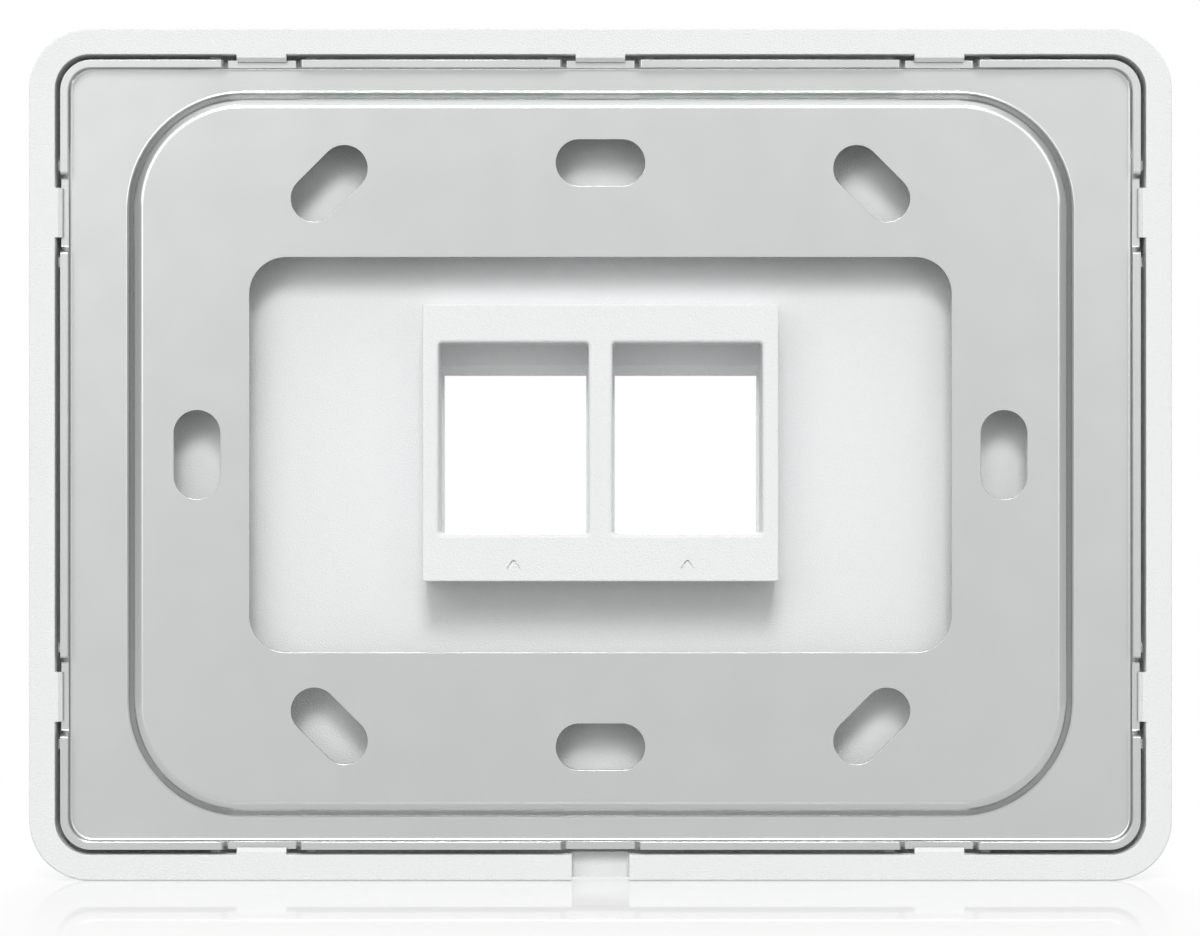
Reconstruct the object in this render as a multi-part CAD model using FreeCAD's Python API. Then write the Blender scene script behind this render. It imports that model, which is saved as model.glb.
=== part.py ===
import FreeCAD, Part
import math
import os

# Two-port keystone wall faceplate with its pressed-steel mounting plate, in millimetres.
# The wall plane is y = 0, the room is toward -y and the wall box toward +y. +z is up.
# The origin is the middle of the screw-slot pattern, on the wall plane.

V = FreeCAD.Vector
ORIGIN = V(0, 0, 0)
AXIS = V(0, 1, 0)

# Faceplate shell
FACE_WIDTH = 118.0
FACE_HEIGHT = 88.0
FACE_DEPTH = 7.0
FACE_CORNER_R = 6.3
FACE_LEAN = 0.4
FACE_FRONT_R = 1.8
RIM_EDGE = 0.2
SKIRT_WALL = 2.68
SKIRT_INNER_R = 3.6
SKIRT_INNER_LEAN = 0.15
FRONT_WALL = 2.2

# Keystone block and its ports
BLOCK_HALF_WIDTH = 18.25
BLOCK_TOP = 15.4
BLOCK_BOTTOM = -13.0
BLOCK_REAR = 3.0
BLOCK_EDGE = 0.15
PORT_PITCH = 17.82
FRONT_OPENING_WIDTH = 14.84
RECEPTACLE_WIDTH = 15.35
RECEPTACLE_CORNER_R = 0.35
PORT_BOTTOM = -8.16
FRONT_OPENING_TOP = 8.29
MOUTH_TOP = 11.45
MOUTH_EDGE = 0.38
FRONT_LIP = 1.3
LEDGE_EDGE = 9.33
TOE_LIP = 1.6
TOE_GROOVE_WIDTH = 1.7
TOE_GROOVE_DEPTH = 1.5
REAR_LIP = 1.8
LATCH_POCKET_LENGTH = 4.0
LATCH_POCKET_DEPTH = 1.3

# Orientation marks under the ports
MARK_Z = -11.2
MARK_WIDTH = 1.24
MARK_HEIGHT = 0.94
MARK_STROKE = 0.19
MARK_DEPTH = 0.15

# Snap tabs, their sites along each side, and the ribs beside them
TAB_X = 35.0
TAB_Z = 25.0
TAB_WIDTH = 5.1
TAB_REACH = 0.74
TAB_CHAMFER = 0.4
TAB_THICKNESS = 0.8
TAB_CLEARANCE = 0.2
RIB_OFFSET = 5.0
RIB_THICKNESS = 1.0
RIB_REACH = 3.0
PRY_WIDTH = 5.95
PRY_DEPTH = 3.0
PRY_R = 0.5

# Mounting plate: drawn sheet with a turned edge, a sunk border and a raised middle
SHEET = 0.8
TRAY_GAP = 0.53
TRAY_CORNER_R = 3.2
FLANGE_TOP = -0.1
FLANGE_BEND_R = 0.3
BORDER_DROP = 1.7
BORDER_SIDE = 6.64
BORDER_TOP = 3.09
RISER_CORNER_R = 12.2
RISER_ANGLE = 60.0
RISER_BEND_R = 0.45
NOTCH_LENGTH = 8.5
NOTCH_END = 0.8
NOTCH_END_R = 0.5
WINDOW_LAND_SIDE = 3.0
WINDOW_LAND_TOP = 7.35
WINDOW_R = 3.8
SLOT_LENGTH = 9.2
SLOT_WIDTH = 4.8
SLOT_PITCH_X = 83.3
SLOT_PITCH_Z = 60.3
SLOT_RADIUS_45 = 39.6

# Values that follow from the ones above
FRONT = -FACE_DEPTH
FLOOR = FRONT + FRONT_WALL
INNER_WIDTH = FACE_WIDTH - 2 * SKIRT_WALL
INNER_HEIGHT = FACE_HEIGHT - 2 * SKIRT_WALL
TRAY_WIDTH = INNER_WIDTH - 2 * TRAY_GAP
TRAY_HEIGHT = INNER_HEIGHT - 2 * TRAY_GAP
RISER_WIDTH = TRAY_WIDTH - 2 * BORDER_SIDE
RISER_HEIGHT = TRAY_HEIGHT - 2 * BORDER_TOP
WINDOW_WIDTH = SLOT_PITCH_X - SLOT_WIDTH - 2 * WINDOW_LAND_SIDE
WINDOW_HEIGHT = SLOT_PITCH_Z - SLOT_WIDTH - 2 * WINDOW_LAND_TOP
BORDER_FRONT = -BORDER_DROP - SHEET
NOTCH_FLOOR = -TAB_THICKNESS - TAB_CLEARANCE
TAB_SITES = [("top", 0.0), ("top", TAB_X), ("top", -TAB_X), ("bottom", TAB_X), ("bottom", -TAB_X),
             ("left", TAB_Z), ("left", -TAB_Z), ("right", TAB_Z), ("right", -TAB_Z)]
NOTCH_SITES = TAB_SITES + [("bottom", 0.0)]
TURN = {"top": 0, "right": 90, "bottom": 180, "left": 270}
BITE = 0.4


def rounded_face(corners, place):
    """Face of a closed polygon given as (u, v, radius) corners, put in space by place(u, v)."""
    cuts = []
    for i, (u, v, r) in enumerate(corners):
        here = V(u, v, 0)
        back = V(*corners[i - 1][:2], 0) - here
        ahead = V(*corners[(i + 1) % len(corners)][:2], 0) - here
        back.normalize()
        ahead.normalize()
        half = back.getAngle(ahead) / 2
        run = r / math.tan(half)
        middle = back + ahead
        middle.normalize()
        inside = here + middle * (r / math.sin(half) - r)
        cuts.append((here + back * run, inside, here + ahead * run, r))
    edges = []
    for i, (start, inside, end, r) in enumerate(cuts):
        if r:
            edges.append(Part.Arc(*[place(p.x, p.y) for p in (start, inside, end)]).toShape())
        following = cuts[(i + 1) % len(cuts)][0]
        if end.distanceToPoint(following) > 1e-6:
            edges.append(Part.makeLine(place(end.x, end.y), place(following.x, following.y)))
    return Part.Face(Part.Wire(edges))


def rectangle(width, height, r=0.0, cx=0.0, cz=0.0):
    """Corners of a rounded rectangle in the x-z plane."""
    return [(cx + sx * width / 2, cz + sz * height / 2, r) for sx, sz in ((1, 1), (-1, 1), (-1, -1), (1, -1))]


def prism(corners, y0, y1):
    """Solid with its outline in the x-z plane, from y0 to y1."""
    return rounded_face(corners, lambda u, v: V(u, y0, v)).extrude(V(0, y1 - y0, 0))


def carried(section, width, height, corner_r):
    """Solid with a rounded-rectangle plan. The section is (distance from the corner centre, y, radius);
    it is carried along the sides and turned round the corners, and a section from 0 is filled."""
    ix = width / 2 - corner_r
    iz = height / 2 - corner_r
    side = rounded_face(section, lambda u, y: V(ix + u, y, 0)).extrude(V(0, 0, iz))
    end = rounded_face(section, lambda u, y: V(0, y, iz + u)).extrude(V(ix, 0, 0))
    corner = rounded_face(section, lambda u, y: V(ix + u, y, iz)).revolve(V(ix, 0, iz), AXIS, -90)
    pieces = [end, corner]
    core = [y for u, y, _ in section if u == 0]
    if core:
        pieces.append(Part.makeBox(ix, max(core) - min(core), iz, V(0, min(core), 0)))
    quarter = side.fuse(pieces)
    half = quarter.fuse(quarter.mirror(ORIGIN, V(1, 0, 0)))
    return half.fuse(half.mirror(ORIGIN, V(0, 0, 1))).removeSplitter()


def at_side(shape, site, width, height):
    """Turns a shape drawn on the top side, where z = 0 is the wall line, to its side of the outline."""
    side, along = site
    reach = (height if side in ("top", "bottom") else width) / 2
    return shape.translated(V(along, 0, reach)).rotated(ORIGIN, AXIS, TURN[side])


def shell():
    """Front wall and skirt, open toward the wall."""
    r = FACE_CORNER_R
    outside = [(0, 0, 0), (r - RIM_EDGE, 0, 0), (r, -RIM_EDGE, 0), (r - FACE_LEAN, FRONT, FACE_FRONT_R),
               (0, FRONT, 0)]
    r = SKIRT_INNER_R
    inside = [(0, 1, 0), (r, 1, 0), (r, 0, 0), (r - SKIRT_INNER_LEAN, FLOOR, 0), (0, FLOOR, 0)]
    body = carried(outside, FACE_WIDTH, FACE_HEIGHT, FACE_CORNER_R)
    return body.cut(carried(inside, INNER_WIDTH, INNER_HEIGHT, SKIRT_INNER_R))


def tab():
    """Snap tab on the top side, its rear edge chamfered as a lead-in."""
    section = [(BITE, 0, 0), (BITE, -TAB_THICKNESS, 0), (-TAB_REACH, -TAB_THICKNESS, 0),
               (-TAB_REACH, -TAB_CHAMFER, 0), (TAB_CHAMFER - TAB_REACH, 0, 0)]
    return rounded_face(section, lambda w, y: V(-TAB_WIDTH / 2, y, w)).extrude(V(TAB_WIDTH, 0, 0))


def ribs():
    """Pair of seat ribs beside a tab, from the front wall up to the border of the mounting plate."""
    height = BORDER_FRONT - FLOOR + BITE
    pair = [Part.makeBox(RIB_THICKNESS, height, RIB_REACH + BITE,
                         V(x - RIB_THICKNESS / 2, FLOOR - BITE, -RIB_REACH)) for x in (-RIB_OFFSET, RIB_OFFSET)]
    return pair[0].fuse(pair[1])


def pry_notch():
    """Cut through the bottom of the skirt for a screwdriver blade."""
    w = PRY_WIDTH / 2
    outline = [(-w, 1, 0), (-w, -PRY_DEPTH, PRY_R), (w, -PRY_DEPTH, PRY_R), (w, 1, 0)]
    return rounded_face(outline, lambda u, y: V(u, y, -FACE_HEIGHT / 2 - 1)).extrude(V(0, 0, SKIRT_WALL + 2))


def block():
    """Raised block that carries the ports, its edges broken."""
    size = V(2 * BLOCK_HALF_WIDTH, BLOCK_REAR - FLOOR + BITE, BLOCK_TOP - BLOCK_BOTTOM)
    body = Part.makeBox(*size, V(-BLOCK_HALF_WIDTH, FLOOR - BITE, BLOCK_BOTTOM))
    rear = [e for e in body.Edges if all(abs(p.Point.y - BLOCK_REAR) < 1e-6 for p in e.Vertexes)]
    upright = [e for e in body.Edges if abs(e.Vertexes[0].Point.y - e.Vertexes[1].Point.y) > 1]
    return body.makeChamfer(BLOCK_EDGE, rear + upright)


def port():
    """Space of one keystone port, drawn at x = 0: front opening, receptacle, toe groove, latch pocket."""
    w = RECEPTACLE_WIDTH
    mouth_height = MOUTH_TOP - PORT_BOTTOM
    mouth_z = (MOUTH_TOP + PORT_BOTTOM) / 2
    r = RECEPTACLE_CORNER_R
    flare = [(0, FLOOR, 0), (r, FLOOR, 0), (r, BLOCK_REAR - MOUTH_EDGE, 0), (r + MOUTH_EDGE, BLOCK_REAR, 0),
             (r + MOUTH_EDGE, BLOCK_REAR + 1, 0), (0, BLOCK_REAR + 1, 0)]
    space = carried(flare, w, mouth_height, r).translated(V(0, 0, mouth_z))
    lip = FRONT + FRONT_LIP
    under = FLOOR + BITE
    profile = [(lip, PORT_BOTTOM, 0), (under, PORT_BOTTOM, 0), (under, LEDGE_EDGE, 0),
               (FLOOR, LEDGE_EDGE, 0), (lip, FRONT_OPENING_TOP, 0)]
    throat = rounded_face(profile, lambda y, z: V(-w / 2, y, z)).extrude(V(w, 0, 0))
    opening = Part.makeBox(FRONT_OPENING_WIDTH, FRONT_LIP + 2, FRONT_OPENING_TOP - PORT_BOTTOM,
                           V(-FRONT_OPENING_WIDTH / 2, FRONT - 1, PORT_BOTTOM))
    groove = Part.makeBox(w, TOE_GROOVE_WIDTH, TOE_GROOVE_DEPTH + 1,
                          V(-w / 2, FRONT + TOE_LIP, PORT_BOTTOM - TOE_GROOVE_DEPTH))
    pocket = Part.makeBox(w, LATCH_POCKET_LENGTH, LATCH_POCKET_DEPTH + 1,
                          V(-w / 2, BLOCK_REAR - REAR_LIP - LATCH_POCKET_LENGTH, MOUTH_TOP - 1))
    return space.fuse([throat, opening, groove, pocket])


def mark():
    """Engraved arrowhead that points to the latch side of a port, drawn at x = 0."""
    w = MARK_WIDTH / 2
    h = MARK_HEIGHT
    s = MARK_STROKE
    drop = s * math.hypot(w, h) / w
    outline = [(-w, 0, 0), (0, h, s), (w, 0, 0), (w - s * h / w / 2, 0, 0), (0, h - drop, 0), (s * h / w / 2 - w, 0, 0)]
    return prism(outline, BLOCK_REAR - MARK_DEPTH, BLOCK_REAR + 1).translated(V(0, 0, MARK_Z - h / 2))


def faceplate():
    solid = shell().fuse(block())
    for site in TAB_SITES:
        solid = solid.fuse([at_side(tab(), site, INNER_WIDTH, INNER_HEIGHT),
                            at_side(ribs(), site, INNER_WIDTH, INNER_HEIGHT)])
    cuts = [pry_notch()]
    for side in (-1, 1):
        across = V(side * PORT_PITCH / 2, 0, 0)
        cuts += [port().translated(across), mark().translated(across)]
    return solid.cut(cuts).removeSplitter()


def riser():
    """Joggled band between the sunk border and the raised middle of the mounting plate."""
    lean = math.radians(RISER_ANGLE)
    step = SHEET * math.tan(lean / 2)
    foot = RISER_CORNER_R - RISER_BEND_R * math.tan(lean / 2)
    head = foot - BORDER_DROP / math.tan(lean)
    outer_r = RISER_BEND_R + SHEET
    section = [(riser_inner(), 0, 0), (head, 0, outer_r), (foot, -BORDER_DROP, RISER_BEND_R),
               (RISER_CORNER_R + step, -BORDER_DROP, 0), (RISER_CORNER_R + step, BORDER_FRONT, 0),
               (foot - step, BORDER_FRONT, outer_r), (head - step, -SHEET, RISER_BEND_R),
               (riser_inner(), -SHEET, 0)]
    return carried(section, RISER_WIDTH, RISER_HEIGHT, RISER_CORNER_R), step


def riser_inner():
    """Distance from the riser's corner centres to where the flat middle begins."""
    return RISER_CORNER_R - 2.6


def flange():
    """Turned edge of the mounting plate, with its bend into the border."""
    r = TRAY_CORNER_R
    bend = FLANGE_BEND_R + SHEET
    inner = r - bend - 0.1
    section = [(inner, BORDER_FRONT, 0), (r, BORDER_FRONT, bend), (r, FLANGE_TOP, 0), (r - SHEET, FLANGE_TOP, 0),
               (r - SHEET, -BORDER_DROP, FLANGE_BEND_R), (inner, -BORDER_DROP, 0)]
    return carried(section, TRAY_WIDTH, TRAY_HEIGHT, r), r - inner


def notch():
    """Relief in the flange edge at a snap tab, its ends eased into an S, drawn on the top side."""
    a = NOTCH_LENGTH / 2
    b = a - NOTCH_END
    r = NOTCH_END_R
    outline = [(-a - 1, FLANGE_TOP, 0), (-a, FLANGE_TOP, r), (-b, NOTCH_FLOOR, r), (b, NOTCH_FLOOR, r),
               (a, FLANGE_TOP, r), (a + 1, FLANGE_TOP, 0), (a + 1, 1, 0), (-a - 1, 1, 0)]
    return rounded_face(outline, lambda u, y: V(u, y, -SHEET - 0.3)).extrude(V(0, 0, SHEET + 0.8))


def slots():
    """Eight screw slots that lie across the direction to the middle."""
    cuts = []
    for turn, radius in ((0, SLOT_PITCH_X / 2), (45, SLOT_RADIUS_45), (90, SLOT_PITCH_Z / 2), (135, SLOT_RADIUS_45)):
        slot = prism(rectangle(SLOT_WIDTH, SLOT_LENGTH, SLOT_WIDTH / 2, radius), -SHEET - 1, 1)
        cuts += [slot.rotated(ORIGIN, AXIS, turn), slot.rotated(ORIGIN, AXIS, turn + 180)]
    return cuts


def mounting_plate():
    band, step = riser()
    edge, overlap = flange()
    narrowing = 2 * (RISER_CORNER_R - riser_inner())
    middle = prism(rectangle(RISER_WIDTH - narrowing, RISER_HEIGHT - narrowing, riser_inner()), -SHEET, 0)
    border = prism(rectangle(TRAY_WIDTH - 2 * overlap, TRAY_HEIGHT - 2 * overlap, TRAY_CORNER_R - overlap),
                   BORDER_FRONT, -BORDER_DROP)
    inside = prism(rectangle(RISER_WIDTH + 2 * step, RISER_HEIGHT + 2 * step, RISER_CORNER_R + step),
                   BORDER_FRONT - 1, 1)
    sheet = border.cut(inside).fuse([band, edge, middle])
    cuts = slots() + [prism(rectangle(WINDOW_WIDTH, WINDOW_HEIGHT, WINDOW_R), -SHEET - 1, 1)]
    cuts += [at_side(notch(), site, TRAY_WIDTH, TRAY_HEIGHT) for site in NOTCH_SITES]
    return sheet.cut(cuts).removeSplitter()


PARTS = {"faceplate": faceplate, "mounting_plate": mounting_plate}

os.makedirs("parts", exist_ok=True)
for name, make in PARTS.items():
    shape = make()
    solids = shape.Solids
    if len(solids) != 1 or not shape.isValid():
        raise RuntimeError(f"{name}: {len(solids)} solids, valid {shape.isValid()}")
    solids[0].exportStep(f"parts/{name}.step")
    box = solids[0].BoundBox
    print(name, round(solids[0].Volume, 1), [round(v, 3) for v in (box.XLength, box.YLength, box.ZLength)])
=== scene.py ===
import math

import bmesh
import bpy
from mathutils import Matrix, Vector


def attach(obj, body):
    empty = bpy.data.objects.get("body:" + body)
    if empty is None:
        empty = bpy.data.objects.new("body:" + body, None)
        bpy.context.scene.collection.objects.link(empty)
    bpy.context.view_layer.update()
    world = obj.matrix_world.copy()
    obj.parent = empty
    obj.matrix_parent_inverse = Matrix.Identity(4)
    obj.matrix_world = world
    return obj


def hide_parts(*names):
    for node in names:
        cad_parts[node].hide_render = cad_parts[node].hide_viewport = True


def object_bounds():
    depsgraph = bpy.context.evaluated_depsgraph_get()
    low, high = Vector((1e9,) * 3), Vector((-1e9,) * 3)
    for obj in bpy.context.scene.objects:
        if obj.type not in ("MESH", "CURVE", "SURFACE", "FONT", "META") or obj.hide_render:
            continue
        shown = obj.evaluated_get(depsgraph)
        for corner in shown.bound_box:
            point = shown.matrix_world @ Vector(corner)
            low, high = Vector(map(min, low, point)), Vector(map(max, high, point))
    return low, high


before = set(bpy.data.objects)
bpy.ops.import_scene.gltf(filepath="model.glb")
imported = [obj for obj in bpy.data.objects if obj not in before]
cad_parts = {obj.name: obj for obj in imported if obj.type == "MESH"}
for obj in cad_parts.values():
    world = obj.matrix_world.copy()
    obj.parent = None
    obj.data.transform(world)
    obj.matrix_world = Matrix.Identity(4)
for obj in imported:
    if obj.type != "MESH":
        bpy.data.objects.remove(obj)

CAD_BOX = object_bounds()

bl_info = {
    "name": "Keystone Wall Faceplate",
    "version": (1, 0, 0),
    "blender": (4, 5, 0),
    "location": "View3D > Sidebar > Faceplate",
    "description": "Two-port keystone wall faceplate on its pressed-steel mounting plate",
    "category": "Object",
}

MM = 0.001
WIDTH_M = CAD_BOX[1][0] - CAD_BOX[0][0]
HEIGHT_M = CAD_BOX[1][2] - CAD_BOX[0][2]
GROUND = CAD_BOX[0][2]
WHITE = (1, 1, 1, 1)

# Points nearer than this are one, and the decimals of a metre that tell two places apart
NEAR = 1e-6
PLACE_DIGITS = 7

# Fineness of the roundings: turn from one facet to the next, or facets in a quarter round
FACET_TURN = math.radians(10)
CORNER_STEPS = 18
HOLE_STEPS = 16
BLOCK_STEPS = 4
MOUTH_STEPS = 5
CUT_STEPS = 3
NOTCH_STEPS = 10
# Share of its radius by which a hole's corner is rounded, so that two half rounds don't touch
ROUNDED_SHARE = 0.9999

# Faces that meet at less than the first are one flat, edges that turn more than the rest are sharp
FLAT_TURN = math.radians(0.05)
SHARP_TURN = math.radians(35)
SHEET_SHARP_TURN = math.radians(60)

# Flat strips that a section has beside its last rounding; what lies inside them is filled flat
FRONT_STRIP = 1 * MM
RIM_STRIP = 0.4 * MM
INNER_RIM_STRIP = 0.3 * MM
FLOOR_STRIP = 0.5 * MM
BORDER_STRIP = 0.1 * MM
MIDDLE_STRIP = 2.6 * MM

# Roundings of the cover's least edges
INNER_RIM_EDGE = 0.1 * MM
TAB_EDGE = 0.05 * MM
PRY_CORNER = 0.5 * MM

# How far a cutter reaches past the face that it cuts
PAST = 1 * MM

# Floor: share of white in what camera and mirrors see, stretch of its mirror image along x, where
# the image is lost, its strength near and far, and where the floor fades to white, in metres
FLOOR_LIFT = 0.68
IMAGE_STRETCH = (0.3, 1, 0)
IMAGE_REACH = 0.05
IMAGE_NEAR = 0.7
IMAGE_FAR = 0.05
FADE_START = 0.055
FADE_END = 0.17

# How far in front of the wall plane a side card starts, in metres
CARD_START = 0.2

# Softboxes: name, azimuth, elevation, width and height in degrees, the setting that holds the
# level, and whether reflections show the softbox
LAMPS = (
    ("Key softbox", 0, 35, 14, 13, "key_light", True),
    ("Left softbox", 25, 13, 24, 24, "left_light", True),
    ("Right softbox", -25, 13, 24, 24, "right_light", True),
    ("Fill softbox", 8, 25, 26, 10, "fill_light", True),
    ("Overhead softbox", 0, 68, 50, 26, "top_light", True),
    ("Front softbox", 180, 22, 24, 14, "front_light", True),
    ("Left side softbox", 95, 15, 24, 24, "side_light", False),
    ("Right side softbox", -95, 15, 24, 24, "side_light", False),
)


def linear(hex_colour):
    """Linear RGBA of an sRGB hex colour."""
    channels = [int(hex_colour[i:i + 2], 16) / 255 for i in (1, 3, 5)]
    return [c / 12.92 if c <= 0.04045 else ((c + 0.055) / 1.055) ** 2.4 for c in channels] + [1.0]


def length(name, description, mm):
    """Length property with its default given in millimetres."""
    return bpy.props.FloatProperty(name=name, description=description, default=mm * MM,
                                   unit="LENGTH", subtype="DISTANCE", precision=5)


def colour(name, description, hex_colour):
    """Colour property with its default given as sRGB hex."""
    return bpy.props.FloatVectorProperty(name=name, description=description, size=4, min=0, max=1,
                                         default=linear(hex_colour), subtype="COLOR")


def light(name, description, level):
    """Light level property."""
    return bpy.props.FloatProperty(name=name, description=description, default=level, min=0)


class CoverSizes(bpy.types.PropertyGroup):
    """Sizes of the moulded cover."""
    width: length("Width", "Outside width at the wall", WIDTH_M / MM)
    height: length("Height", "Outside height at the wall", HEIGHT_M / MM)
    depth: length("Depth", "From the wall to the front face", 7.0)
    corner: length("Corner radius", "Outside corner radius", 6.3)
    lean: length("Draft", "How far the outside leans in toward the front", 0.4)
    front_edge: length("Front edge radius", "Rounding round the front face", 1.8)
    rim_edge: length("Rim edge radius", "Rounding of the rim's outer edge", 0.2)
    skirt: length("Skirt", "Thickness of the skirt at the rim", 2.68)
    inner_corner: length("Inner corner radius", "Corner radius inside the skirt", 3.6)
    inner_lean: length("Inner draft", "How far the inside leans in toward the front wall", 0.15)
    front_wall: length("Front wall", "Thickness of the front wall", 2.2)
    floor_fillet: length("Floor fillet", "Fillet between the skirt and the front wall", 0.5)
    pry_width: length("Pry notch width", "Width of the notch for a screwdriver", 5.95)
    pry_depth: length("Pry notch depth", "Depth of that notch from the rim", 3.0)
    bite: length("Bite", "How far joined forms reach into each other", 0.4)


class PortSizes(bpy.types.PropertyGroup):
    """Sizes of the keystone block and its ports."""
    block_half: length("Block half width", "Half the width of the block", 18.25)
    block_top: length("Block top", "Top of the block above the middle", 15.4)
    block_bottom: length("Block bottom", "Bottom of the block under the middle", -13.0)
    block_rear: length("Block rear", "How far the block passes the wall plane", 3.0)
    block_edge: length("Block edge", "Rounding of the block's edges", 0.15)
    pitch: length("Port pitch", "Distance between the ports", 17.82)
    opening_width: length("Opening width", "Width of the front opening", 14.84)
    opening_top: length("Opening top", "Top of the front opening", 8.29)
    bottom: length("Port bottom", "Bottom of the port", -8.16)
    width: length("Receptacle width", "Width of the port behind the front lip", 15.35)
    top: length("Mouth top", "Top of the rear mouth", 11.45)
    corner: length("Mouth corner radius", "Corner radius of the rear mouth", 0.35)
    mouth_edge: length("Mouth edge radius", "Rounding round the rear mouth", 0.38)
    lip: length("Front lip", "Thickness of the lip round the front opening", 1.3)
    ledge: length("Ledge edge", "Height where the lead-in under the latch ledge starts", 9.33)
    toe_lip: length("Toe lip", "Thickness of the lip in front of the toe groove", 1.6)
    toe_width: length("Toe groove width", "Width of the toe groove along the port", 1.7)
    toe_depth: length("Toe groove depth", "Depth of the toe groove", 1.5)
    rear_lip: length("Rear lip", "Thickness of the lip behind the latch pocket", 1.8)
    pocket_length: length("Pocket length", "Length of the latch pocket", 4.0)
    pocket_depth: length("Pocket depth", "Depth of the latch pocket", 1.3)
    mark_z: length("Mark height", "Height of the arrowhead marks", -11.1)
    mark_width: length("Mark width", "Width of an arrowhead mark", 1.44)
    mark_height: length("Mark rise", "Rise of an arrowhead mark", 1.14)
    mark_stroke: length("Mark stroke", "Width of the engraved line", 0.32)
    mark_depth: length("Mark depth", "Depth of the engraved line", 0.3)


class TabSizes(bpy.types.PropertyGroup):
    """Sizes and sites of the snap tabs and the ribs beside them."""
    site_x: length("Tab site along X", "Outer tabs on the top and bottom sides", 35.0)
    site_z: length("Tab site along Z", "Tabs on the left and right sides", 25.0)
    width: length("Tab width", "Length of a tab along its side", 5.1)
    reach: length("Tab reach", "How far a tab stands out of the skirt", 0.74)
    chamfer: length("Tab chamfer", "Lead-in chamfer of a tab", 0.4)
    thickness: length("Tab thickness", "Depth of a tab from the rim", 0.8)
    clearance: length("Tab clearance", "Gap between a tab and the notched flange", 0.2)
    rib_offset: length("Rib offset", "Distance of a rib from its tab's middle", 5.0)
    rib_thickness: length("Rib thickness", "Thickness of a seat rib", 1.0)
    rib_reach: length("Rib reach", "How far a rib stands out of the skirt", 3.0)


class PlateSizes(bpy.types.PropertyGroup):
    """Sizes of the pressed-steel mounting plate."""
    sheet: length("Sheet", "Thickness of the steel", 0.8)
    gap: length("Gap", "Clearance between the flange and the skirt", 0.53)
    corner: length("Corner radius", "Outside corner radius of the flange", 3.2)
    edge_y: length("Flange edge", "Place of the flange's edge from the wall plane", -0.1)
    edge_round: length("Edge rounding", "Rounding that the press leaves on cut edges", 0.05)
    flange_bend: length("Flange bend", "Inner radius of the flange's bend", 0.3)
    drop: length("Border drop", "How far the border is sunk", 1.7)
    border_side: length("Border at the sides", "From the flange to the riser, left and right", 6.64)
    border_top: length("Border at the top", "From the flange to the riser, top and bottom", 3.09)
    riser_corner: length("Riser corner", "Corner radius at the riser's foot", 12.2)
    riser_bend: length("Riser bend", "Inner radius of the riser's bends", 0.45)
    riser_angle: bpy.props.FloatProperty(name="Riser angle", description="Slope of the riser",
                                         default=math.radians(60), unit="ROTATION",
                                         subtype="ANGLE")
    notch_length: length("Notch length", "Length of a flange notch", 8.5)
    notch_end: length("Notch end", "Length of a notch's eased end", 0.85)
    window_width: length("Window width", "Width of the window", 72.5)
    window_height: length("Window height", "Height of the window", 40.8)
    window_corner: length("Window corner", "Corner radius of the window", 3.8)
    slot_length: length("Slot length", "End-to-end length of a screw slot", 9.2)
    slot_width: length("Slot width", "Width of a screw slot", 4.8)
    slot_x: length("Slots left and right", "Distance of the side slots from the middle", 41.65)
    slot_z: length("Slots top and bottom", "Distance of those slots from the middle", 30.15)
    slot_45: length("Slots at 45 degrees", "Distance of the diagonal slots from the middle", 39.6)


class FinishColours(bpy.types.PropertyGroup):
    """Colours of the finishes and the stage."""
    moulding: colour("Moulding", "White of the moulded cover", "#ECEEEE")
    plating: colour("Plating", "Tone of the plated steel", "#BEC0BF")
    floor: colour("Floor", "Tone of the floor", "#F8F8F8")
    card: colour("Side cards", "Tone of the cards that the steel mirrors at the sides", "#DADADA")


class StageSettings(bpy.types.PropertyGroup):
    """Camera, lamps, floor and side cards."""
    camera_distance: length("Camera distance", "From the wall plane to the camera", 430.0)
    camera_x: length("Camera x", "Sideways place of the camera", 0.05)
    camera_z: length("Camera height", "Height of the camera over the middle", -1.37)
    lens: bpy.props.FloatProperty(name="Lens", description="Focal length in millimetres",
                                  default=125.0)
    lamp_distance: length("Lamp distance", "From the middle of the object to each softbox", 3000.0)
    key_light: light("Key light", "Light from the key softbox above the camera", 1.28)
    left_light: light("Left light", "Light from the low softbox on the camera's left", 0.38)
    right_light: light("Right light", "Light from the low softbox on the camera's right", 0.24)
    fill_light: light("Fill light", "Light from the softbox under the key", 0.42)
    top_light: light("Top light", "Light from the softbox overhead", 0.2)
    front_light: light("Front light", "Light on the front face", 2.0)
    side_light: light("Side light", "Light on each narrow side", 0.55)
    ambient: light("Ambient", "Level of the light from all round", 0.38)
    floor_width: length("Floor width", "Side of the square floor", 4000.0)
    card_distance: length("Card distance", "From the middle of the object to each side card", 900.0)
    card_length: length("Card length", "Length of a side card from front to back", 1500.0)
    card_height: length("Card height", "Height of a side card", 1000.0)


GROUPS = {"keystone_cover": CoverSizes, "keystone_ports": PortSizes, "keystone_tabs": TabSizes,
          "keystone_plate": PlateSizes, "keystone_finish": FinishColours,
          "keystone_stage": StageSettings}


# Drawing helpers

def round_off(bm, geom, offset, steps, affect="VERTICES"):
    """Rounds vertices or edges, starting at this offset from them."""
    bmesh.ops.bevel(bm, geom=geom, offset=offset, offset_type="OFFSET", segments=steps,
                    profile=0.5, affect=affect, material=-1)


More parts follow.
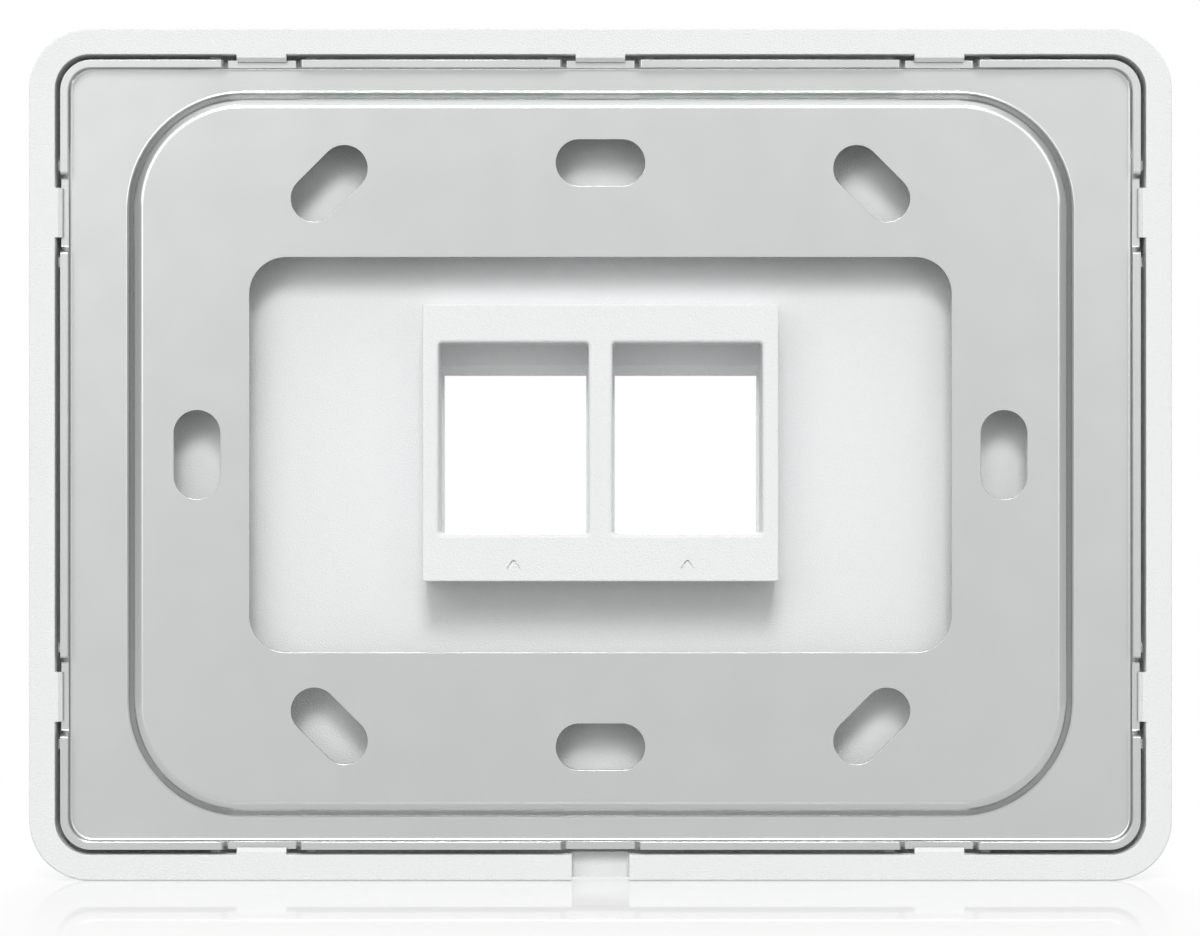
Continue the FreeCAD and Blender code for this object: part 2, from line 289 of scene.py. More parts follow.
def draw(bm, corners, place, closed=True):
    """Draws a line through (u, v, radius) corners, put in space by place(u, v), and rounds them."""
    verts = [bm.verts.new(place(u, v)) for u, v, _ in corners]
    pairs = list(zip(verts, verts[1:])) + ([(verts[-1], verts[0])] if closed else [])
    line = [bm.edges.new(pair) for pair in pairs]
    before = set(bm.edges) - set(line)
    points = [v.co.copy() for v in verts]
    for i, (vert, (_, _, radius)) in enumerate(zip(verts, corners)):
        if radius:
            back = points[i - 1] - points[i]
            ahead = points[(i + 1) % len(points)] - points[i]
            turn = math.pi - back.angle(ahead)
            round_off(bm, [vert], radius * math.tan(turn / 2), max(2, round(turn / FACET_TURN)))
    return [e for e in bm.edges if e not in before]


def in_order(bm):
    """Makes the mesh anew with its elements sorted by place. Some operators number what they make
    by memory address, and the flat faces would be split in another way on each run."""
    verts = sorted(bm.verts, key=lambda v: [round(c, PLACE_DIGITS) for c in v.co])
    rank = {v: i for i, v in enumerate(verts)}
    loops = []
    for face in bm.faces:
        loop = [rank[v] for v in face.verts]
        first = loop.index(min(loop))
        loops.append(loop[first:] + loop[:first])
    ends = sorted(sorted(rank[v] for v in e.verts) for e in bm.edges)
    places = [v.co.copy() for v in verts]
    bm.clear()
    made = [bm.verts.new(place) for place in places]
    for kind, sets in ((bm.edges, ends), (bm.faces, sorted(loops))):
        for members in sets:
            kind.new([made[i] for i in members])
    bm.normal_update()


def verts_of(edges):
    """Vertices of these edges, each once."""
    return list(dict.fromkeys(v for e in edges for v in e.verts))


def ends_of(result, key="geom"):
    """Edges and vertices at the far end of an extrusion or a spin."""
    verts = [g for g in result[key] if isinstance(g, bmesh.types.BMVert)]
    held = set(verts)
    edges = [g for g in result[key]
             if isinstance(g, bmesh.types.BMEdge) and held.issuperset(g.verts)]
    return edges, verts


def carry(bm, section, width, height, corner, stops_x=(), stops_z=()):
    """Carries a section of (distance from the corner centre, y, radius) round a rounded rectangle.
    The stops are places along the sides where the band gets a row of its own."""
    ix = width / 2 - corner
    iz = height / 2 - corner
    edges = draw(bm, section, lambda u, y: Vector((ix + u, y, -iz)), closed=False)
    sides = (((0, 0, 1), iz, stops_z, (ix, 0, iz)), ((-1, 0, 0), ix, stops_x, (-ix, 0, iz)),
             ((0, 0, -1), iz, stops_z, (-ix, 0, -iz)), ((1, 0, 0), ix, stops_x, (ix, 0, -iz)))
    for along, half, stops, centre in sides:
        places = sorted({round(s, PLACE_DIGITS) for s in stops if abs(s) < half - NEAR} | {half})
        last = -half
        for place in places:
            edges, verts = ends_of(bmesh.ops.extrude_edge_only(bm, edges=edges))
            bmesh.ops.translate(bm, verts=verts, vec=Vector(along) * (place - last))
            last = place
        turned = bmesh.ops.spin(bm, geom=edges + verts_of(edges), cent=centre, axis=(0, -1, 0),
                                angle=math.pi / 2, steps=CORNER_STEPS, use_merge=False)
        edges, _ = ends_of(turned, "geom_last")
    in_order(bm)
    bmesh.ops.remove_doubles(bm, verts=bm.verts[:], dist=NEAR)


def outline(bm, width, height, radius, y, cx=0.0, cz=0.0, turn=0.0):
    """Face of a rounded rectangle in the plane at y, facing the rear, turned about the y axis."""
    made = bmesh.ops.create_grid(bm, x_segments=1, y_segments=1, size=0.5,
                                 matrix=Matrix.Rotation(-math.pi / 2, 4, "X"))
    verts = made["verts"]
    bmesh.ops.scale(bm, verts=verts, vec=(width, 1, height))
    round_off(bm, verts, radius * ROUNDED_SHARE, HOLE_STEPS)
    face = next(f for f in bm.faces if len(f.verts) > HOLE_STEPS and not f.tag)
    bmesh.ops.remove_doubles(bm, verts=face.verts[:], dist=2 * NEAR)
    face.tag = True
    bmesh.ops.translate(bm, verts=face.verts, vec=(cx, y, cz))
    bmesh.ops.rotate(bm, verts=face.verts, cent=(0, 0, 0), matrix=Matrix.Rotation(turn, 3, "Y"))
    return face


def sink(bm, face, steps):
    """Takes a face through (inward, y) steps and returns the last one's face. A step that goes
    inward insets it, any other extrudes it."""
    for inward, y in steps:
        if inward > 0:
            bmesh.ops.inset_region(bm, faces=[face], thickness=inward, use_even_offset=True,
                                   use_boundary=True)
        else:
            face = bmesh.ops.extrude_discrete_faces(bm, faces=[face])["faces"][0]
        shift = y - face.verts[0].co.y
        bmesh.ops.translate(bm, verts=face.verts, vec=(0, shift, 0))
    return face


def eased_edge(radius, start, count):
    """Steps that round the edge of an opening, from the plane y = start toward the front."""
    angles = [math.pi / 2 * i / count for i in range(count + 1)]
    pairs = [(radius * math.sin(a), radius * (1 - math.cos(a))) for a in angles]
    return [(b[0] - a[0], start - b[1]) for a, b in zip(pairs, pairs[1:])]


def box(bm, low, high):
    """Closed box between two corners."""
    middle = Matrix.Translation((Vector(low) + Vector(high)) / 2)
    size = Matrix.Diagonal((*(Vector(high) - Vector(low)), 1))
    return bmesh.ops.create_cube(bm, size=1, matrix=middle @ size)["verts"]


def fill_level(bm, y):
    """Fills the flat region between the open loops that lie in the plane at y."""
    in_order(bm)
    edges = [e for e in bm.edges
             if e.is_boundary and all(abs(v.co.y - y) < NEAR for v in e.verts)]
    bmesh.ops.triangle_fill(bm, edges=edges, use_beauty=True, normal=(0, 1, 0))


def shade(bm, sharp_turn=SHARP_TURN):
    """Merges flat faces, smooths all faces and keeps the edges sharp that turn more than this."""
    bmesh.ops.dissolve_limit(bm, angle_limit=FLAT_TURN, verts=bm.verts[:], edges=bm.edges[:])
    for face in bm.faces:
        face.smooth = True
    for edge in bm.edges:
        edge.smooth = len(edge.link_faces) == 2 and edge.calc_face_angle(0) < sharp_turn


def place_new(name, data):
    """New object with this data in the scene."""
    obj = bpy.data.objects.new(name, data)
    bpy.context.scene.collection.objects.link(obj)
    return obj


def finish_mesh(bm, name, sharp_turn=SHARP_TURN):
    """Makes the object, with its normals outward."""
    in_order(bm)
    bmesh.ops.recalc_face_normals(bm, faces=bm.faces[:])
    shade(bm, sharp_turn)
    mesh = bpy.data.meshes.new(name)
    bm.to_mesh(mesh)
    bm.free()
    return place_new(name, mesh)


def require_closed(piece):
    """Stops with an error if the mesh has an open or doubled seam."""
    bm = bmesh.new()
    bm.from_mesh(piece.data)
    seams = sum(not e.is_manifold for e in bm.edges)
    bm.free()
    if seams:
        raise RuntimeError(f"{piece.name} has {seams} open or doubled edges")


def even_shading(piece):
    """Lets the large flat faces rule the shading next to small roundings."""
    weigh = piece.modifiers.new("Flat faces rule", "WEIGHTED_NORMAL")
    weigh.mode = "FACE_AREA"
    weigh.weight = 100
    weigh.thresh = 0.2 * MM * MM
    weigh.keep_sharp = True


def stand_for(piece, node, finish):
    """Puts a finished piece in the place of its CAD node."""
    piece.data.materials.clear()
    piece.data.materials.append(finish)
    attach(piece, "root")
    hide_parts(node)


# Finishes

def add(tree, kind, values=None, links=None, **settings):
    """Adds a node with its settings, input values and links from other sockets."""
    node = tree.nodes.new(kind)
    for key, value in settings.items():
        setattr(node, key, value)
    for key, value in (values or {}).items():
        node.inputs[key].default_value = value
    for key, source in (links or {}).items():
        tree.links.new(source, node.inputs[key])
    return node


def new_finish(name):
    """Empty node material."""
    finish = bpy.data.materials.new(name)
    finish.use_nodes = True
    finish.node_tree.nodes.clear()
    return finish, finish.node_tree


def per_size(mm):
    """Texture scale that gives features of this size in millimetres on Object coordinates."""
    return 1 / (mm * MM)


def darker(tint, share):
    """This share of a colour, opaque."""
    return [c * share for c in tint[:3]] + [1.0]


def moulded_abs():
    """White ABS from a spark-eroded tool: an even, fine grain takes the gloss off the flats."""
    finish, tree = new_finish("Moulded ABS, spark-eroded white")
    tint = bpy.context.scene.keystone_finish.moulding
    place = add(tree, "ShaderNodeTexCoord").outputs["Object"]
    # The real grain is about 0.1 mm; it is drawn at 0.16 mm, the finest that the picture resolves
    grain = add(tree, "ShaderNodeTexNoise",
                {"Scale": per_size(0.16), "Detail": 1.0, "Roughness": 0.5}, {"Vector": place})
    # Flow and cooling leave the white very slightly uneven over a few millimetres
    cloud = add(tree, "ShaderNodeTexNoise", {"Scale": per_size(9.0), "Detail": 2.0},
                {"Vector": place})
    tone = add(tree, "ShaderNodeMix", {"B": tint, "A": darker(tint, 0.985)},
               {"Factor": cloud.outputs["Fac"]}, data_type="RGBA")
    height = add(tree, "ShaderNodeBump", {"Strength": 1.0, "Distance": 0.08 * MM},
                 {"Height": grain.outputs["Fac"]})
    surface = add(tree, "ShaderNodeBsdfPrincipled", {"Roughness": 0.68, "IOR": 1.54},
                  {"Base Color": tone.outputs["Result"], "Normal": height.outputs["Normal"]})
    add(tree, "ShaderNodeOutputMaterial", links={"Surface": surface.outputs["BSDF"]})
    return finish


def plated_steel():
    """Cold-rolled sheet with a satin zinc plating: soft grey shine, fine crystalline tooth, and
    no brush lines."""
    finish, tree = new_finish("Zinc-plated sheet steel, satin")
    tint = bpy.context.scene.keystone_finish.plating
    place = add(tree, "ShaderNodeTexCoord").outputs["Object"]
    # The tooth of the plating is finer than 0.1 mm; it is drawn at 0.2 mm so that it shows
    tooth = add(tree, "ShaderNodeTexNoise",
                {"Scale": per_size(0.2), "Detail": 2.0, "Roughness": 0.65}, {"Vector": place})
    # Patches of slightly different crystal a few millimetres wide
    patches = add(tree, "ShaderNodeTexNoise", {"Scale": per_size(6.0), "Detail": 3.0},
                  {"Vector": place})
    tone = add(tree, "ShaderNodeMix", {"A": darker(tint, 0.98), "B": tint},
               {"Factor": patches.outputs["Fac"]}, data_type="RGBA")
    rough = add(tree, "ShaderNodeMapRange", {"To Min": 0.23, "To Max": 0.27},
                {"Value": patches.outputs["Fac"]})
    height = add(tree, "ShaderNodeBump", {"Strength": 0.5, "Distance": 0.003 * MM},
                 {"Height": tooth.outputs["Fac"]})
    surface = add(tree, "ShaderNodeBsdfPrincipled", {"Metallic": 1.0},
                  {"Base Color": tone.outputs["Result"], "Roughness": rough.outputs["Result"],
                   "Normal": height.outputs["Normal"]})
    add(tree, "ShaderNodeOutputMaterial", links={"Surface": surface.outputs["BSDF"]})
    return finish


# Forms of the moulded cover

def tab_sites():
    """Side, place along it, for each snap tab."""
    t = bpy.context.scene.keystone_tabs
    sites = [("top", 0.0)]
    for sign in (-1, 1):
        sites += [("top", sign * t.site_x), ("bottom", sign * t.site_x),
                  ("left", sign * t.site_z), ("right", sign * t.site_z)]
    return sites


def to_side(bm, verts, site, width, height):
    """Moves a form drawn on the top side, where z = 0 is the wall line, to its side."""
    side, along = site
    reach = (height if side in ("top", "bottom") else width) / 2
    turn = {"top": 0, "right": 90, "bottom": 180, "left": 270}[side]
    bmesh.ops.translate(bm, verts=verts, vec=(along, 0, reach))
    bmesh.ops.rotate(bm, verts=verts, cent=(0, 0, 0),
                     matrix=Matrix.Rotation(math.radians(turn), 3, "Y"))


def prism(bm, corners, place, vec):
    """Closed prism on a rounded polygon."""
    edges = draw(bm, corners, place)
    face = bmesh.ops.contextual_create(bm, geom=edges)["faces"][0]
    made = bmesh.ops.extrude_face_region(bm, geom=[face])["geom"]
    far = [g for g in made if isinstance(g, bmesh.types.BMVert)]
    bmesh.ops.translate(bm, verts=far, vec=vec)
    return list(dict.fromkeys(verts_of(edges) + far))


def shell_form():
    """Front wall and skirt."""
    c = bpy.context.scene.keystone_cover
    front = -c.depth
    floor = front + c.front_wall
    bm = bmesh.new()
    r = c.corner
    outside = [(r - c.lean - c.front_edge - FRONT_STRIP, front, 0),
               (r - c.lean, front, c.front_edge),
               (r, 0, c.rim_edge), (r - c.rim_edge - RIM_STRIP, 0, 0)]
    carry(bm, outside, c.width, c.height, r)
    fill_level(bm, front)
    r = c.inner_corner
    inside = [(r + INNER_RIM_STRIP, 0, 0), (r, 0, INNER_RIM_EDGE),
              (r - c.inner_lean, floor, c.floor_fillet),
              (r - c.inner_lean - c.floor_fillet - FLOOR_STRIP, floor, 0)]
    carry(bm, inside, c.width - 2 * c.skirt, c.height - 2 * c.skirt, r)
    fill_level(bm, floor)
    fill_level(bm, 0)
    return finish_mesh(bm, "cover_moulding")


def block_form():
    """Raised block behind the front wall."""
    c = bpy.context.scene.keystone_cover
    p = bpy.context.scene.keystone_ports
    bm = bmesh.new()
    base = -c.depth + c.front_wall - c.bite
    box(bm, (-p.block_half, base, p.block_bottom), (p.block_half, p.block_rear, p.block_top))
    edges = [e for e in bm.edges if max(v.co.y for v in e.verts) > 0]
    round_off(bm, edges, p.block_edge, BLOCK_STEPS, "EDGES")
    return finish_mesh(bm, "block_form")


def tab_forms():
    """Snap tabs with chamfered lead-ins."""
    c = bpy.context.scene.keystone_cover
    t = bpy.context.scene.keystone_tabs
    width = c.width - 2 * c.skirt
    height = c.height - 2 * c.skirt
    bm = bmesh.new()
    section = [(c.bite, 0, 0), (c.bite, -t.thickness, 0), (-t.reach, -t.thickness, TAB_EDGE),
               (-t.reach, -t.chamfer, TAB_EDGE), (t.chamfer - t.reach, 0, TAB_EDGE)]
    for site in tab_sites():
        verts = prism(bm, section, lambda w, y: Vector((-t.width / 2, y, w)), (t.width, 0, 0))
        to_side(bm, verts, site, width, height)
    return finish_mesh(bm, "tab_forms")


def rib_forms():
    """Seat ribs that carry the border of the mounting plate."""
    c = bpy.context.scene.keystone_cover
    t = bpy.context.scene.keystone_tabs
    s = bpy.context.scene.keystone_plate
    floor = -c.depth + c.front_wall
    half = t.rib_thickness / 2
    bm = bmesh.new()
    for site in tab_sites():
        for x in (-t.rib_offset, t.rib_offset):
            verts = box(bm, (x - half, floor - c.bite, -t.rib_reach),
                        (x + half, -s.drop - s.sheet, c.bite))
            to_side(bm, verts, site, c.width - 2 * c.skirt, c.height - 2 * c.skirt)
    return finish_mesh(bm, "rib_forms")


def port_cutters(side):
    """Closed forms that together are the space of one port: mouth, throat, opening, toe groove and
    latch pocket."""
    c = bpy.context.scene.keystone_cover
    p = bpy.context.scene.keystone_ports
    x = side * p.pitch / 2
    front = -c.depth
    floor = front + c.front_wall
    lip = front + p.lip
    under = floor + c.bite
    groove = front + p.toe_lip
    pocket = p.block_rear - p.rear_lip
    half = p.width / 2
    edge = p.mouth_edge
    bm = bmesh.new()
    face = outline(bm, p.width + 2 * edge, p.top - p.bottom + 2 * edge, p.corner + edge,
                   p.block_rear + PAST, x, (p.top + p.bottom) / 2)
    sink(bm, face, [(0, p.block_rear), *eased_edge(edge, p.block_rear, MOUTH_STEPS), (0, floor)])
    bmesh.ops.holes_fill(bm, edges=[e for e in bm.edges if e.is_boundary])
    cutters = [finish_mesh(bm, "port_mouth")]
    bm = bmesh.new()
    prism(bm, [(lip, p.bottom, 0), (under, p.bottom, 0), (under, p.ledge, 0),
               (floor, p.ledge, 0), (lip, p.opening_top, 0)],
          lambda y, z: Vector((x - half, y, z)), (p.width, 0, 0))
    cutters.append(finish_mesh(bm, "port_throat"))
    for half_width, y_low, y_high, z_low, z_high in (
            (p.opening_width / 2, front - PAST, lip + PAST, p.bottom, p.opening_top),
            (half, groove, groove + p.toe_width, p.bottom - p.toe_depth, p.bottom + PAST),
            (half, pocket - p.pocket_length, pocket, p.top - PAST, p.top + p.pocket_depth)):
        bm = bmesh.new()
        box(bm, (x - half_width, y_low, z_low), (x + half_width, y_high, z_high))
        cutters.append(finish_mesh(bm, "port_box"))
    return cutters


def mark_cutter(side):
    """Engraved arrowhead under a port."""
    p = bpy.context.scene.keystone_ports
    x = side * p.pitch / 2
    w = p.mark_width / 2
    h = p.mark_height
    s = p.mark_stroke
    drop = s * math.hypot(w, h) / w
    foot = s * h / w / 2
    depth = p.block_rear - p.mark_depth
    bm = bmesh.new()
    prism(bm, [(-w, 0, 0), (0, h, s), (w, 0, 0),
               (w - foot, 0, 0), (0, h - drop, 0), (foot - w, 0, 0)],
          lambda u, v: Vector((x + u, depth, p.mark_z - h / 2 + v)), (0, PAST, 0))
    return finish_mesh(bm, "mark")


def pry_cutter():
    """Notch through the bottom of the skirt."""
    c = bpy.context.scene.keystone_cover
    w = c.pry_width / 2
    bm = bmesh.new()
    prism(bm, [(-w, PAST, 0), (-w, -c.pry_depth, PRY_CORNER),
               (w, -c.pry_depth, PRY_CORNER), (w, PAST, 0)],
          lambda u, v: Vector((u, v, -c.height / 2 - PAST)), (0, 0, c.skirt + 2 * PAST))
    return finish_mesh(bm, "pry")


def combine(base, others):
    """Joins or cuts closed forms, each an (operation, object) pair, and leaves one clean mesh."""
    for operation, other in others:
        step = base.modifiers.new(other.name, "BOOLEAN")
        step.operation = operation
        step.solver = "EXACT"
        step.object = other
    bpy.context.view_layer.update()
    depsgraph = bpy.context.evaluated_depsgraph_get()
    mesh = bpy.data.meshes.new_from_object(base.evaluated_get(depsgraph))
    base.modifiers.clear()
    base.data = mesh
    for _, other in others:
        bpy.data.objects.remove(other)


class BuildCover(bpy.types.Operator):
    """Builds the moulded cover with its block, ports, marks, tabs and ribs."""
    bl_idname = "keystone.build_cover"
    bl_label = "Build Cover"

    def execute(self, context):
        cover = shell_form()
        steps = [("UNION", block_form()), ("UNION", tab_forms()), ("UNION", rib_forms())]
        for side in (-1, 1):
            steps += [("DIFFERENCE", cutter) for cutter in port_cutters(side)]
            steps.append(("DIFFERENCE", mark_cutter(side)))
        steps.append(("DIFFERENCE", pry_cutter()))
        combine(cover, steps)
        require_closed(cover)
        bm = bmesh.new()
        bm.from_mesh(cover.data)
        in_order(bm)
        shade(bm)
        bm.to_mesh(cover.data)
        bm.free()
        even_shading(cover)
        stand_for(cover, "faceplate", moulded_abs())
        return {"FINISHED"}


# Forms of the mounting plate

def notch_shape(distance, notch_length, end):
    """How deep the flange edge is lowered at this distance from a notch's middle, from 0 to 1."""
    t = (notch_length / 2 - abs(distance)) / end
    t = min(max(t, 0.0), 1.0)
    return t * t * (3 - 2 * t)


def notch_stops(sites, notch_length, end):
    """Places along a side where the notches need a row of their own."""
    eased = [notch_length / 2 - end * i / NOTCH_STEPS for i in range(NOTCH_STEPS + 1)]
    return [site + sign * place for site in sites for sign in (-1, 1) for place in eased]


def sheet_form():
    """The pressed sheet: turned flange with notches, sunk border, riser, and raised middle with its
    holes."""
    c = bpy.context.scene.keystone_cover
    t = bpy.context.scene.keystone_tabs
    s = bpy.context.scene.keystone_plate
    width = c.width - 2 * c.skirt - 2 * s.gap
    height = c.height - 2 * c.skirt - 2 * s.gap
    under = -s.drop - s.sheet
    edge = s.edge_round
    outer = s.riser_bend + s.sheet
    bm = bmesh.new()

    # The flange and the border next to it, then the notches pressed into its edge
    r = s.corner
    inner = r - s.sheet - s.flange_bend - BORDER_STRIP
    flange = [(inner, -s.drop, 0), (r - s.sheet, -s.drop, s.flange_bend),
              (r - s.sheet, s.edge_y, edge), (r, s.edge_y, edge),
              (r, under, s.flange_bend + s.sheet), (inner, under, 0)]
    sites_x = (-t.site_x, 0.0, t.site_x)
    sites_z = (-t.site_z, t.site_z)
    carry(bm, flange, width, height, r, notch_stops(sites_x, s.notch_length, s.notch_end),
          notch_stops(sites_z, s.notch_length, s.notch_end))
    depth = t.thickness + t.clearance + s.edge_y
    for vert in bm.verts:
        if vert.co.y > s.edge_y - 2 * edge:
            x, _, z = vert.co
            along, sites = (x, sites_x) if abs(z) > height / 2 - r else (z, sites_z)
            vert.co.y -= depth * max(notch_shape(along - site, s.notch_length, s.notch_end)
                                     for site in sites)

    # The riser: a line for its rear face, and one for its front face a sheet's thickness away
    step = s.sheet * math.tan(s.riser_angle / 2)
    foot = s.riser_corner - s.riser_bend * math.tan(s.riser_angle / 2)
    head = foot - s.drop / math.tan(s.riser_angle)
    start = s.riser_corner - MIDDLE_STRIP
    far = s.riser_corner + step
    rear = [(start, 0, 0), (head, 0, outer), (foot, -s.drop, s.riser_bend), (far, -s.drop, 0)]
    front = [(start, -s.sheet, 0), (head - step, -s.sheet, s.riser_bend),
             (foot - step, under, outer), (far, under, 0)]
    for section in (rear, front):
        carry(bm, section, width - 2 * s.border_side, height - 2 * s.border_top, s.riser_corner)

    # The window and the screw slots
    holes = [(s.window_width, s.window_height, s.window_corner, 0.0, 0.0)]
    for turn, radius in ((0, s.slot_x), (45, s.slot_45), (90, s.slot_z), (135, s.slot_45)):
        for half_turn in (0, 180):
            holes.append((s.slot_width, s.slot_length, s.slot_width / 2, radius,
                          math.radians(turn + half_turn)))
    for hole_width, hole_height, corner, x, turn in holes:
        face = outline(bm, hole_width + 2 * edge, hole_height + 2 * edge, corner + edge, 0.0, x,
                       turn=turn)
        face = sink(bm, face, [*eased_edge(edge, 0.0, CUT_STEPS), (0, -s.sheet)])
        bmesh.ops.delete(bm, geom=[face], context="FACES_ONLY")

    bmesh.ops.remove_doubles(bm, verts=bm.verts[:], dist=NEAR)
    for level in (0.0, -s.sheet, -s.drop, under):
        fill_level(bm, level)
    return finish_mesh(bm, "mounting_plate_sheet", SHEET_SHARP_TURN)


class BuildPlate(bpy.types.Operator):
    """Builds the pressed-steel mounting plate."""
    bl_idname = "keystone.build_plate"
    bl_label = "Build Mounting Plate"

    def execute(self, context):
        plate = sheet_form()
        require_closed(plate)
        even_shading(plate)
        stand_for(plate, "mounting_plate", plated_steel())
        return {"FINISHED"}


# Stage

def pale_floor():
    """Pale polished floor. Camera and mirror rays see it brightened, and as plain white away from
    the object."""
    finish, tree = new_finish("Pale acrylic floor, polished")
    place = add(tree, "ShaderNodeTexCoord").outputs["Object"]
    path = add(tree, "ShaderNodeLightPath").outputs
    seen = add(tree, "ShaderNodeMath",
               links={0: path["Is Camera Ray"], 1: path["Is Glossy Ray"]}, operation="MAXIMUM")
    white = add(tree, "ShaderNodeEmission", {"Color": WHITE, "Strength": 1.0})
    matt = add(tree, "ShaderNodeBsdfDiffuse", {"Color": bpy.context.scene.keystone_finish.floor})
    lift = add(tree, "ShaderNodeMath", {1: FLOOR_LIFT}, {0: seen.outputs[0]},
               operation="MULTIPLY")
    body = add(tree, "ShaderNodeMixShader",
               links={0: lift.outputs[0], 1: matt.outputs["BSDF"], 2: white.outputs["Emission"]})
    polish = add(tree, "ShaderNodeBsdfGlossy", {"Color": WHITE, "Roughness": 0.03})
    grazing = add(tree, "ShaderNodeFresnel", {"IOR": 1.4})
    # The mirror image is clear where the object stands and is lost a few centimetres from there
    stretched = add(tree, "ShaderNodeVectorMath", {1: IMAGE_STRETCH}, {0: place},
                    operation="MULTIPLY")
    gap = add(tree, "ShaderNodeVectorMath", links={0: stretched.outputs[0]}, operation="LENGTH")
    clear = add(tree, "ShaderNodeMapRange",
                {"From Min": 0.0, "From Max": IMAGE_REACH, "To Min": IMAGE_NEAR,
                 "To Max": IMAGE_FAR}, {"Value": gap.outputs["Value"]})
    sheen = add(tree, "ShaderNodeMath",
                links={0: grazing.outputs[0], 1: clear.outputs["Result"]}, operation="MULTIPLY")
    shaded = add(tree, "ShaderNodeMixShader",
                 links={0: sheen.outputs[0], 1: body.outputs["Shader"], 2: polish.outputs["BSDF"]})
    reach = add(tree, "ShaderNodeVectorMath", links={0: place}, operation="LENGTH")
    fade = add(tree, "ShaderNodeMapRange", {"From Min": FADE_START, "From Max": FADE_END},
               {"Value": reach.outputs["Value"]}, interpolation_type="SMOOTHSTEP")
    blend = add(tree, "ShaderNodeMath",
                links={0: seen.outputs[0], 1: fade.outputs["Result"]}, operation="MULTIPLY")
    mixed = add(tree, "ShaderNodeMixShader",
                links={0: blend.outputs[0], 1: shaded.outputs["Shader"],
                       2: white.outputs["Emission"]})
    add(tree, "ShaderNodeOutputMaterial", links={"Surface": mixed.outputs["Shader"]})
    return finish


def studio_world(level):
    """Even light from all round, seen as plain white by the camera and in reflections."""
    world = bpy.data.worlds.new("Studio")
    world.use_nodes = True
    tree = world.node_tree
    tree.nodes.clear()
    path = add(tree, "ShaderNodeLightPath").outputs
    mirrored = add(tree, "ShaderNodeMath",
                   links={0: path["Is Glossy Ray"], 1: path["Is Transmission Ray"]},
                   operation="MAXIMUM")
    seen = add(tree, "ShaderNodeMath", links={0: path["Is Camera Ray"], 1: mirrored.outputs[0]},
               operation="MAXIMUM")
    ambient = add(tree, "ShaderNodeBackground", {"Color": WHITE, "Strength": level})
    white = add(tree, "ShaderNodeBackground", {"Color": WHITE, "Strength": 1.0})
    mixed = add(tree, "ShaderNodeMixShader",
                links={0: seen.outputs[0], 1: ambient.outputs[0], 2: white.outputs[0]})
    add(tree, "ShaderNodeOutputWorld", links={"Surface": mixed.outputs[0]})
    return world


def softbox(name, azimuth, elevation, width, height, level, mirrored):
    """Far rectangular lamp that gives the object this level of light. Angles are in degrees from
    the middle of the object, azimuth from +Y toward +X. Reflections show it if it is mirrored."""
    distance = bpy.context.scene.keystone_stage.lamp_distance
    turn = math.radians(azimuth)
    rise = math.radians(elevation)
    toward = Vector((math.sin(turn) * math.cos(rise), math.cos(turn) * math.cos(rise),
                     math.sin(rise)))
    data = bpy.data.lights.new(name, "AREA")
    data.shape = "RECTANGLE"
    data.size = 2 * distance * math.tan(math.radians(width / 2))
    data.size_y = 2 * distance * math.tan(math.radians(height / 2))
    data.energy = level * math.pi * distance ** 2
    lamp = place_new(name, data)
    lamp.location = toward * distance
    lamp.rotation_euler = (-toward * distance).to_track_quat("-Z", "Y").to_euler()
    lamp.visible_camera = False
    lamp.visible_glossy = mirrored


def side_card(name, side):
    """Pale grey upright card beside the object. Only reflections see it, so that the bends of the
    steel show."""
    st = bpy.context.scene.keystone_stage
    bm = bmesh.new()
    bmesh.ops.create_grid(bm, x_segments=1, y_segments=1, size=0.5,
                          matrix=Matrix.Rotation(math.pi / 2, 4, "Y"))
    bmesh.ops.scale(bm, verts=bm.verts[:], vec=(1, st.card_length, st.card_height))
    bmesh.ops.translate(bm, verts=bm.verts[:],
                        vec=(side * st.card_distance, st.card_length / 2 - CARD_START,
                             GROUND + st.card_height / 2))
    card = finish_mesh(bm, name)
    finish, tree = new_finish("Grey card, matte")
    paper = add(tree, "ShaderNodeBsdfDiffuse", {"Color": bpy.context.scene.keystone_finish.card})
    add(tree, "ShaderNodeOutputMaterial", links={"Surface": paper.outputs["BSDF"]})
    card.data.materials.append(finish)
    card.visible_camera = False
    card.visible_diffuse = False
    card.visible_shadow = False


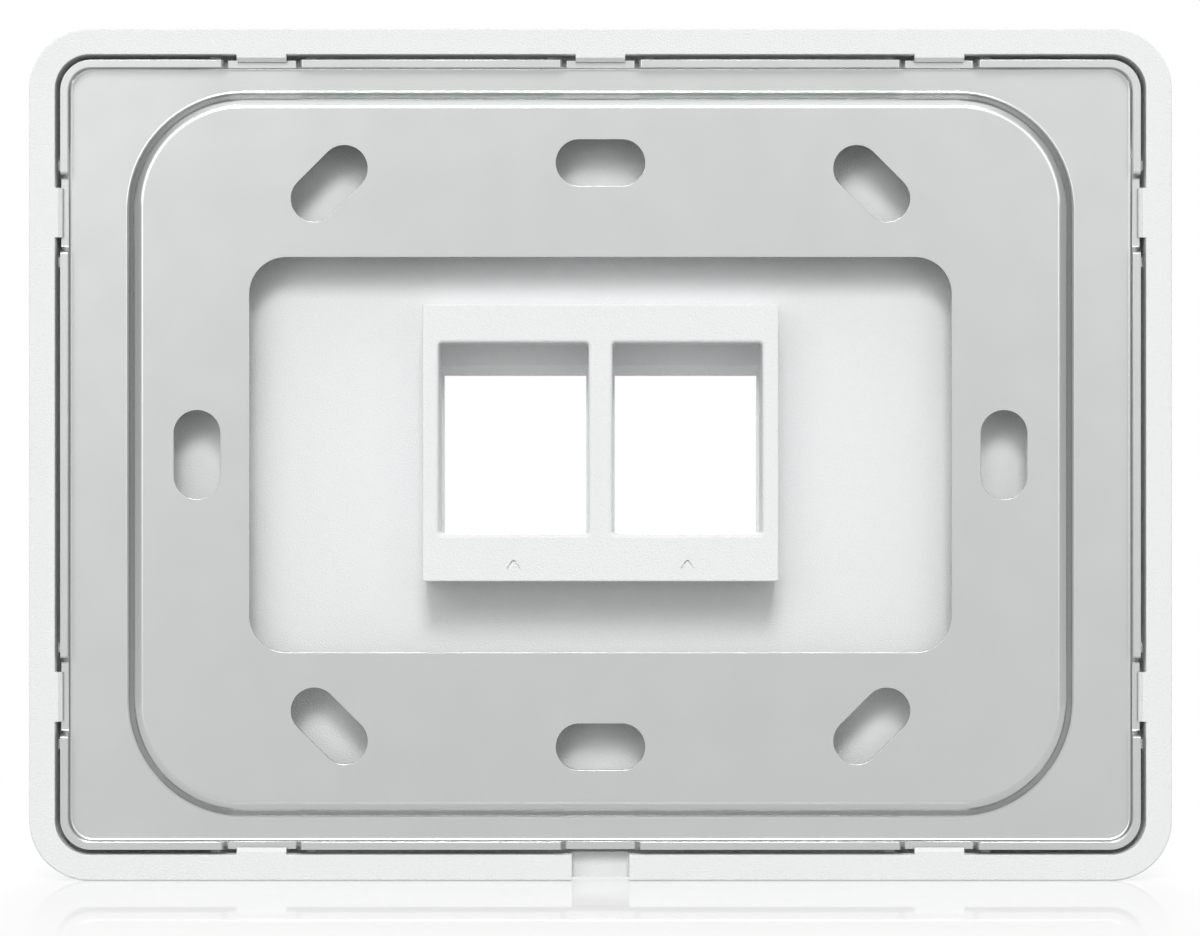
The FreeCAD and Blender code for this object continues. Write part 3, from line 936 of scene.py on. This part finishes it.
class BuildStage(bpy.types.Operator):
    """Sets the camera, the lamps, the world and the floor."""
    bl_idname = "keystone.build_stage"
    bl_label = "Build Stage"

    def execute(self, context):
        scene = context.scene
        st = scene.keystone_stage
        data = bpy.data.cameras.new("Camera")
        data.lens = st.lens
        data.sensor_width = 36
        data.clip_start = 0.01
        camera = place_new("Camera", data)
        camera.location = (st.camera_x, st.camera_distance, st.camera_z)
        camera.rotation_euler = (math.pi / 2, 0, math.pi)
        scene.camera = camera
        bm = bmesh.new()
        bmesh.ops.create_grid(bm, x_segments=1, y_segments=1, size=st.floor_width / 2)
        bmesh.ops.translate(bm, verts=bm.verts[:], vec=(0, 0, GROUND))
        floor = finish_mesh(bm, "floor")
        floor.data.materials.append(pale_floor())
        floor.visible_diffuse = False
        for name, azimuth, elevation, width, height, setting, mirrored in LAMPS:
            softbox(name, azimuth, elevation, width, height, getattr(st, setting), mirrored)
        side_card("Left card", 1)
        side_card("Right card", -1)
        scene.world = studio_world(st.ambient)
        scene.view_settings.view_transform = "Standard"
        return {"FINISHED"}


class FaceplatePanel(bpy.types.Panel):
    """Lists the steps and the sizes of the faceplate."""
    bl_idname = "VIEW3D_PT_keystone_faceplate"
    bl_label = "Keystone Faceplate"
    bl_space_type = "VIEW_3D"
    bl_region_type = "UI"
    bl_category = "Faceplate"

    def draw(self, context):
        for operator in OPERATORS:
            self.layout.operator(operator.bl_idname)
        for group, kind in GROUPS.items():
            section = self.layout.box()
            section.label(text=kind.__doc__)
            for name in kind.__annotations__:
                section.prop(getattr(context.scene, group), name)


OPERATORS = (BuildCover, BuildPlate, BuildStage)
CLASSES = (*GROUPS.values(), *OPERATORS, FaceplatePanel)


def register():
    """Makes the sizes, the steps and the panel known to Blender."""
    for kind in CLASSES:
        bpy.utils.register_class(kind)
    for group, kind in GROUPS.items():
        setattr(bpy.types.Scene, group, bpy.props.PointerProperty(type=kind))


def unregister():
    """Takes them out again."""
    for group in GROUPS:
        delattr(bpy.types.Scene, group)
    for kind in reversed(CLASSES):
        bpy.utils.unregister_class(kind)


def main():
    """Builds the whole scene."""
    register()
    bpy.ops.keystone.build_stage()
    bpy.ops.keystone.build_cover()
    bpy.ops.keystone.build_plate()


if __name__ == "__main__":
    main()
